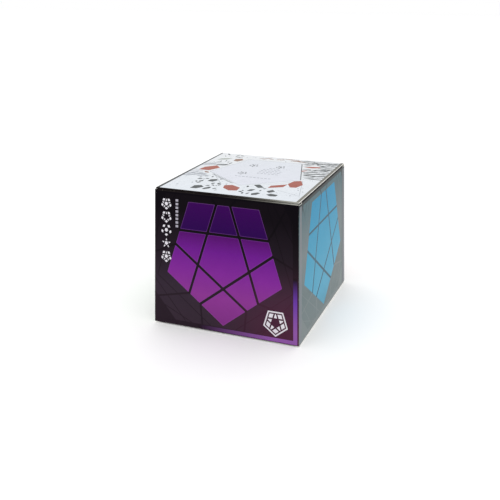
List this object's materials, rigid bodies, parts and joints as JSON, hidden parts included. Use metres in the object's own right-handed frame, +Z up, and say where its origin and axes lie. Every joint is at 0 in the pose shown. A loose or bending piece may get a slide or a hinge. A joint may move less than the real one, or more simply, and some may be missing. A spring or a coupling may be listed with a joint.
{
  "type": "boxed dodecahedron twisty puzzle",
  "caption": "Tuck-top card carton that opens as its dodecahedral twisty puzzle lifts out, with layers that turn on a sprung core.",
  "frame": {"origin": "middle of the closed carton's underside", "axes": "+Z up, the carton's front panel and the lid's free edge towards -Y, the lid's crease at +Y, +X to the right of the front panel"},
  "size_m": [0.095, 0.095, 0.083],
  "materials": {
    "laminated_card_black": "gloss film laminated on printed card",
    "laminated_card_white": "gloss film laminated on printed card",
    "uncoated_card_grey": "uncoated card",
    "black_plastic": "moulded, satin",
    "spring_steel": "drawn wire",
    "screw_steel": "zinc plated",
    "plastic_white": "moulded, semi-gloss",
    "plastic_purple": "moulded, semi-gloss",
    "plastic_green": "moulded, semi-gloss",
    "plastic_red": "moulded, semi-gloss",
    "plastic_blue": "moulded, semi-gloss",
    "plastic_yellow": "moulded, semi-gloss",
    "plastic_light_blue": "moulded, semi-gloss",
    "plastic_cream": "moulded, semi-gloss",
    "plastic_pink": "moulded, semi-gloss",
    "plastic_lime": "moulded, semi-gloss",
    "plastic_grey": "moulded, semi-gloss"
  },
  "bodies": {
    "carton": {"carton_body": "laminated_card_black", "inner_tray": "uncoated_card_grey"},
    "lid": {"carton_lid": "laminated_card_white"},
    "tuck_flap": {"lid_tuck_flap": "laminated_card_white"},
    "dust_flap_left": {"dust_flap_left": "laminated_card_black"},
    "dust_flap_right": {"dust_flap_right": "laminated_card_black"},
    "puzzle": {"core_frame": "black_plastic", "corner_BL_DB_DBL": "plastic_blue", "corner_BL_L_DBL": "plastic_blue", "corner_L_DBL_DL": "plastic_yellow", "corner_R_DR_DBR": "plastic_green", "corner_U_BL_L": "plastic_white", "edge_BL_DB": "plastic_blue", "edge_BL_DBL": "plastic_blue", "edge_BL_L": "plastic_blue", "edge_DBL_DL": "plastic_lime", "edge_DBR_DB": "plastic_cream", "edge_DB_DBL": "plastic_pink", "edge_DR_DBR": "plastic_light_blue", "edge_DR_DL": "plastic_light_blue", "edge_L_DBL": "plastic_yellow", "edge_L_DL": "plastic_yellow", "edge_R_DBR": "plastic_green", "edge_R_DR": "plastic_green", "edge_U_BL": "plastic_white", "edge_U_L": "plastic_white", "edge_U_R": "plastic_white", "screw_BR": "screw_steel", "screw_D": "screw_steel", "screw_F": "screw_steel", "spring_BR": "spring_steel", "spring_D": "spring_steel", "spring_F": "spring_steel"},
    "front_layer": {"centre_base_F": "black_plastic", "centre_cap_F": "plastic_purple", "corner_F_DR_DL": "plastic_purple", "corner_F_L_DL": "plastic_purple", "corner_F_R_DR": "plastic_purple", "corner_U_F_L": "plastic_white", "corner_U_F_R": "plastic_white", "edge_F_DL": "plastic_purple", "edge_F_DR": "plastic_purple", "edge_F_L": "plastic_purple", "edge_F_R": "plastic_purple", "edge_U_F": "plastic_white"},
    "rear_layer": {"centre_base_BR": "black_plastic", "centre_cap_BR": "plastic_red", "corner_BR_BL_DB": "plastic_red", "corner_BR_DBR_DB": "plastic_red", "corner_R_BR_DBR": "plastic_green", "corner_U_BR_BL": "plastic_white", "corner_U_R_BR": "plastic_white", "edge_BR_BL": "plastic_red", "edge_BR_DB": "plastic_red", "edge_BR_DBR": "plastic_red", "edge_R_BR": "plastic_green", "edge_U_BR": "plastic_white"},
    "bottom_layer": {"bottom_ring": "black_plastic", "centre_base_D": "black_plastic", "centre_cap_D": "plastic_grey"}
  },
  "joints": [
    {"name": "puzzle_lift", "type": "slide", "parent": "carton", "child": "puzzle", "axis": [0, 0, 1], "range_m": [0, 0.084]},
    {"name": "lid_hinge", "type": "hinge", "parent": "carton", "child": "lid", "pos_m": [0, 0.0475, 0.08235], "axis": [-1, 0, 0], "range_deg": [0, 165]},
    {"name": "tuck_crease", "type": "hinge", "parent": "lid", "child": "tuck_flap", "pos_m": [0, -0.0463, 0.08235], "axis": [-1, 0, 0], "range_deg": [0, 30]},
    {"name": "dust_left_crease", "type": "hinge", "parent": "carton", "child": "dust_flap_left", "pos_m": [-0.0475, 0, 0.08155], "axis": [0, -1, 0], "range_deg": [0, 165]},
    {"name": "dust_right_crease", "type": "hinge", "parent": "carton", "child": "dust_flap_right", "pos_m": [0.0475, 0, 0.08155], "axis": [0, 1, 0], "range_deg": [0, 165]},
    {"name": "front_layer_turn", "type": "hinge", "parent": "puzzle", "child": "front_layer", "pos_m": [0, 0, 0.03875], "axis": [0, -0.8944, 0.4472], "range_deg": [-180, 180]},
    {"name": "rear_layer_turn", "type": "hinge", "parent": "puzzle", "child": "rear_layer", "pos_m": [0, 0, 0.03875], "axis": [0.5257, 0.7236, 0.4472], "range_deg": [-180, 180]},
    {"name": "bottom_layer_turn", "type": "hinge", "parent": "puzzle", "child": "bottom_layer", "pos_m": [0, 0, 0.03875], "axis": [0, 0, -1], "range_deg": [-180, 180]}
  ],
  "couplings": [
    {"joint": "lid_hinge", "follows": "puzzle_lift", "rad_per_m": 34.2},
    {"joint": "tuck_crease", "follows": "puzzle_lift", "rad_per_m": 6.2},
    {"joint": "dust_left_crease", "follows": "puzzle_lift", "rad_per_m": 34.2},
    {"joint": "dust_right_crease", "follows": "puzzle_lift", "rad_per_m": 34.2}
  ]
}
